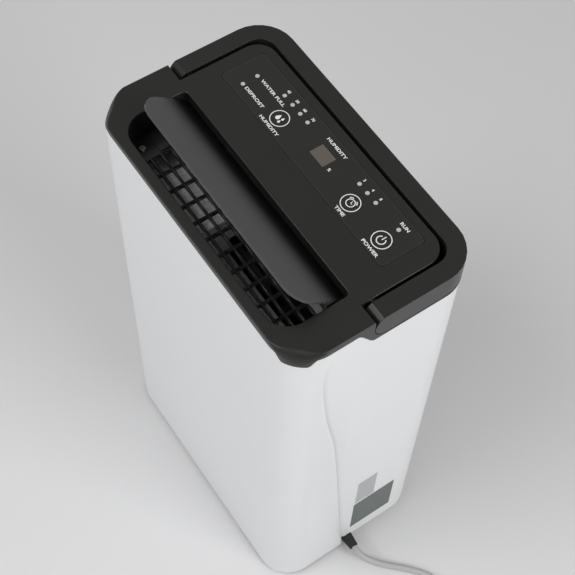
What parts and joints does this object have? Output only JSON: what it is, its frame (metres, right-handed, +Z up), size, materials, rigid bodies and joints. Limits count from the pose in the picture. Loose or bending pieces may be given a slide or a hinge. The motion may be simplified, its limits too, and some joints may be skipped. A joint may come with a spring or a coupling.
{
  "type": "dehumidifier",
  "caption": "Compact upright room dehumidifier: white case, black top with outlet flap, touch keys and folding handle, rear intake and slide-out water tank.",
  "frame": {"origin": "middle of the case's footprint, on the surface the feet stand on", "axes": "+Z up, -Y out of the plain front, +X to the right seen from the front, where the cord leaves the case"},
  "size_m": [0.4865, 0.1814, 0.5349],
  "materials": {
    "white_abs": "satin moulded",
    "black_abs": "satin moulded",
    "grey_flap": "satin moulded",
    "panel_film": "printed film",
    "smoked_window": "smoked, polished",
    "lamp_plastic": "translucent white",
    "foam": "expanded white foam",
    "tank_plastic": "translucent grey",
    "filter_mesh": "black woven mesh in a frame",
    "circuit_board": "green lacquered board",
    "aluminium": "bare sheet",
    "copper": "drawn copper tube",
    "steel": "zinc plated",
    "black_steel": "black paint",
    "rubber": "matt black",
    "label_film": "grey-green film",
    "pale_label": "pale grey film",
    "cord_pvc": "soft light grey"
  },
  "bodies": {
    "housing": {"front_shell": "white_abs", "rear_shell": "white_abs", "base_pan": "white_abs", "drip_tray": "white_abs", "top_cover": "black_abs", "outlet_duct": "black_abs", "outlet_grille": "black_abs", "level_switch": "black_abs", "control_film": "panel_film", "display_window": "smoked_window", "light_guide": "lamp_plastic", "air_scroll": "foam", "run_capacitor": "tank_plastic", "control_board": "circuit_board", "main_board": "circuit_board", "condenser_fins": "aluminium", "evaporator_fins": "aluminium", "condenser_tube": "copper", "evaporator_tube": "copper", "discharge_pipe": "copper", "suction_line": "copper", "capillary_tube": "copper", "mid_shelf": "steel", "handle_pin_left": "steel", "handle_pin_right": "steel", "duct_screw": "steel", "flap_pin_left": "steel", "coil_frame": "steel", "plug_pin_1": "steel", "plug_pin_2": "steel", "flap_motor": "black_steel", "fan_motor": "black_steel", "compressor": "black_steel", "foot_1": "rubber", "foot_2": "rubber", "foot_3": "rubber", "foot_4": "rubber", "compressor_mount_1": "rubber", "compressor_mount_2": "rubber", "compressor_mount_3": "rubber", "cord_gland": "rubber", "rating_label": "label_film", "care_label": "pale_label", "cord_tube": "cord_pvc", "cord_coil": "cord_pvc", "plug_body": "cord_pvc"},
    "flap": {"outlet_flap": "grey_flap", "flap_drive_shaft": "steel"},
    "handle": {"carry_handle": "black_abs"},
    "humidity_button": {"humidity_key": "panel_film"},
    "time_button": {"time_key": "panel_film"},
    "power_button": {"power_key": "panel_film"},
    "fan": {"fan_wheel": "black_abs", "fan_shaft": "steel"},
    "intake": {"intake_grille": "white_abs", "air_filter": "filter_mesh"},
    "tank": {"water_tank": "tank_plastic"},
    "lid": {"tank_lid": "tank_plastic"},
    "float": {"tank_float": "foam"}
  },
  "joints": [
    {"name": "handle_fold", "type": "hinge", "parent": "housing", "child": "handle", "pos_m": [0, 0, 0.4986], "axis": [1, 0, 0], "range_deg": [0, 90]},
    {"name": "flap_tilt", "type": "hinge", "parent": "housing", "child": "flap", "pos_m": [0, -0.034, 0.498], "axis": [-1, 0, 0], "range_deg": [-39, 36]},
    {"name": "humidity_press", "type": "slide", "parent": "housing", "child": "humidity_button", "axis": [0, 0, -1], "range_m": [0, 0.0005], "stiffness_N_per_m": 1500, "springref_m": -0.0005},
    {"name": "time_press", "type": "slide", "parent": "housing", "child": "time_button", "axis": [0, 0, -1], "range_m": [0, 0.0005], "stiffness_N_per_m": 1500, "springref_m": -0.0005},
    {"name": "power_press", "type": "slide", "parent": "housing", "child": "power_button", "axis": [0, 0, -1], "range_m": [0, 0.0005], "stiffness_N_per_m": 1500, "springref_m": -0.0005},
    {"name": "fan_spin", "type": "hinge", "parent": "housing", "child": "fan", "pos_m": [0, 0, 0.345], "axis": [0, 1, 0], "continuous": true},
    {"name": "intake_pull", "type": "slide", "parent": "housing", "child": "intake", "axis": [0, 1, 0], "range_m": [0, 0.03]},
    {"name": "tank_slide", "type": "slide", "parent": "housing", "child": "tank", "axis": [0, 1, 0], "range_m": [0, 0.16]},
    {"name": "lid_lift", "type": "slide", "parent": "tank", "child": "lid", "axis": [0, 0, 1], "range_m": [0, 0.025]},
    {"name": "float_rise", "type": "slide", "parent": "tank", "child": "float", "axis": [0, 0, 1], "range_m": [0, 0.014]}
  ]
}
